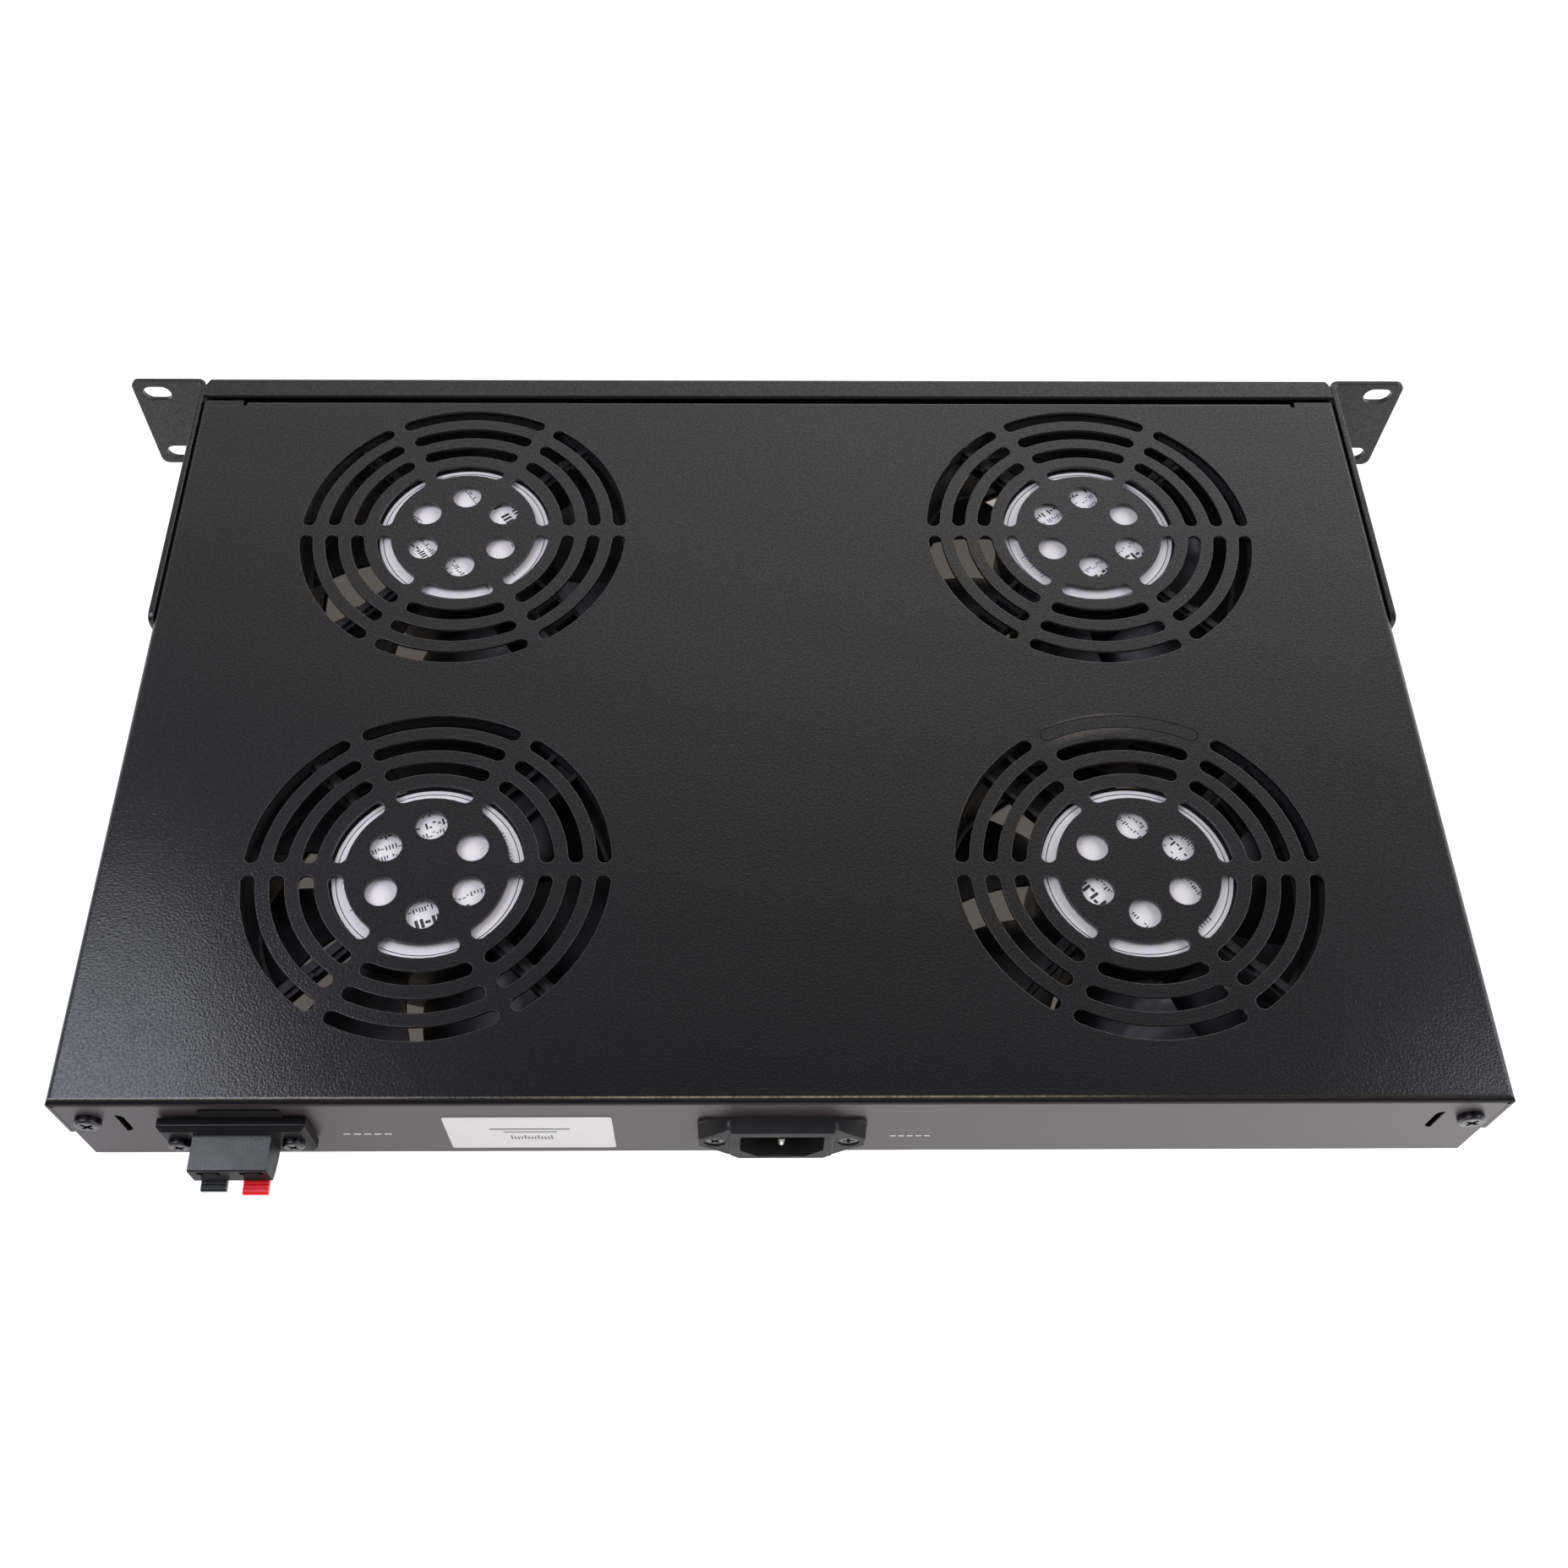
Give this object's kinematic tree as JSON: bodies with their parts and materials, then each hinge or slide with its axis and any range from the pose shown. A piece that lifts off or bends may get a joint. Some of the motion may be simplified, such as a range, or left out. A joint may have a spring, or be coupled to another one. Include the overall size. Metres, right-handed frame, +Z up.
{
  "type": "rack fan tray",
  "caption": "1U rack cooling tray: a folded steel case with round slotted guards over axial mains fans, rack ears, mains inlet, sensor terminal, thermostat and switch.",
  "frame": {"origin": "centre of the four rack slots, on the front face of the rack ears", "axes": "+Z up, the front panel faces -Y, +X to the right seen from the front"},
  "size_m": [0.4826, 0.3105, 0.044],
  "materials": {
    "powder_coat": "fine textured black powder coat",
    "black_steel": "black oxide",
    "zinc_steel": "zinc plated",
    "bearing_steel": "ground",
    "shaft_steel": "ground",
    "lamination_steel": "stacked sheet",
    "copper_winding": "enamelled wire",
    "label_white": "satin printed film",
    "fan_casting": "black coated die casting",
    "impeller_plastic": "glass filled black plastic",
    "inlet_plastic": "moulded black",
    "nickel_pins": "nickel plated",
    "terminal_plastic": "moulded black",
    "lever_black": "moulded",
    "lever_red": "moulded",
    "bezel_plastic": "fine spark texture",
    "display_glass": "smoked window",
    "button_grey": "moulded",
    "circuit_board": "solder mask",
    "switch_plastic": "moulded",
    "switch_rocker": "moulded",
    "block_plastic": "moulded nylon",
    "lead_black": "PVC",
    "lead_brown": "PVC",
    "lead_grey": "PVC"
  },
  "bodies": {
    "tray": {"top_cover": "powder_coat", "base_tray": "powder_coat", "front_panel": "powder_coat", "rack_bracket_right": "powder_coat", "rack_bracket_left": "powder_coat", "front_panel_screws": "black_steel", "bracket_screws": "black_steel", "cover_screws": "black_steel", "terminal_screws": "black_steel", "inlet_screws": "black_steel", "front_panel_nuts": "zinc_steel", "press_nuts": "zinc_steel", "rear_wall_nuts": "zinc_steel", "fan_nuts": "zinc_steel", "fan_screws": "zinc_steel", "fan_bearings": "bearing_steel", "stator_cores": "lamination_steel", "stator_coils": "copper_winding", "hub_labels": "label_white", "inlet_housing": "inlet_plastic", "inlet_pins": "nickel_pins", "terminal_spacer": "terminal_plastic", "terminal_housing": "terminal_plastic", "terminal_contacts": "nickel_pins", "rear_label": "label_white", "thermostat_case": "bezel_plastic", "display_window": "display_glass", "thermostat_board": "circuit_board", "switch_housing": "switch_plastic", "switch_tabs": "nickel_pins", "terminal_block": "block_plastic", "fan_leads": "lead_black", "mains_leads": "lead_brown", "sensor_leads": "lead_grey", "earth_stud": "zinc_steel", "earth_ring": "nickel_pins", "earth_nut": "zinc_steel", "fan_frame_front_left": "fan_casting", "fan_frame_front_right": "fan_casting", "fan_frame_rear_left": "fan_casting", "fan_frame_rear_right": "fan_casting"},
    "rotor_front_left": {"impeller_front_left": "impeller_plastic", "motor_shaft_front_left": "shaft_steel", "rotor_ring_front_left": "lamination_steel"},
    "rotor_front_right": {"impeller_front_right": "impeller_plastic", "motor_shaft_front_right": "shaft_steel", "rotor_ring_front_right": "lamination_steel"},
    "rotor_rear_left": {"impeller_rear_left": "impeller_plastic", "motor_shaft_rear_left": "shaft_steel", "rotor_ring_rear_left": "lamination_steel"},
    "rotor_rear_right": {"impeller_rear_right": "impeller_plastic", "motor_shaft_rear_right": "shaft_steel", "rotor_ring_rear_right": "lamination_steel"},
    "lever_black": {"terminal_lever_black": "lever_black"},
    "lever_red": {"terminal_lever_red": "lever_red"},
    "rocker": {"switch_rocker": "switch_rocker"},
    "button_up": {"thermostat_button_up": "button_grey"},
    "button_set": {"thermostat_button_set": "button_grey"},
    "button_down": {"thermostat_button_down": "button_grey"}
  },
  "joints": [
    {"name": "fan_spin_front_left", "type": "hinge", "parent": "tray", "child": "rotor_front_left", "pos_m": [-0.1125, 0.0738, 0], "axis": [0, 0, 1], "continuous": true},
    {"name": "fan_spin_front_right", "type": "hinge", "parent": "tray", "child": "rotor_front_right", "pos_m": [0.1098, 0.0738, 0], "axis": [0, 0, 1], "continuous": true},
    {"name": "fan_spin_rear_left", "type": "hinge", "parent": "tray", "child": "rotor_rear_left", "pos_m": [-0.1125, 0.2106, 0], "axis": [0, 0, 1], "continuous": true},
    {"name": "fan_spin_rear_right", "type": "hinge", "parent": "tray", "child": "rotor_rear_right", "pos_m": [0.1098, 0.2106, 0], "axis": [0, 0, 1], "continuous": true},
    {"name": "lever_black_press", "type": "hinge", "parent": "tray", "child": "lever_black", "pos_m": [0.167, 0.2974, 0.0006], "axis": [-1, 0, 0], "range_deg": [0, 12], "stiffness_Nm_per_rad": 0.05},
    {"name": "lever_red_press", "type": "hinge", "parent": "tray", "child": "lever_red", "pos_m": [0.1546, 0.2974, 0.0006], "axis": [-1, 0, 0], "range_deg": [0, 12], "stiffness_Nm_per_rad": 0.05},
    {"name": "power_rocker", "type": "hinge", "parent": "tray", "child": "rocker", "pos_m": [0.184, 0.001, 0], "axis": [1, 0, 0], "range_deg": [0, 18]},
    {"name": "press_up", "type": "slide", "parent": "tray", "child": "button_up", "axis": [0, 1, 0], "range_m": [0, 0.001], "stiffness_N_per_m": 300},
    {"name": "press_set", "type": "slide", "parent": "tray", "child": "button_set", "axis": [0, 1, 0], "range_m": [0, 0.001], "stiffness_N_per_m": 300},
    {"name": "press_down", "type": "slide", "parent": "tray", "child": "button_down", "axis": [0, 1, 0], "range_m": [0, 0.001], "stiffness_N_per_m": 300}
  ]
}
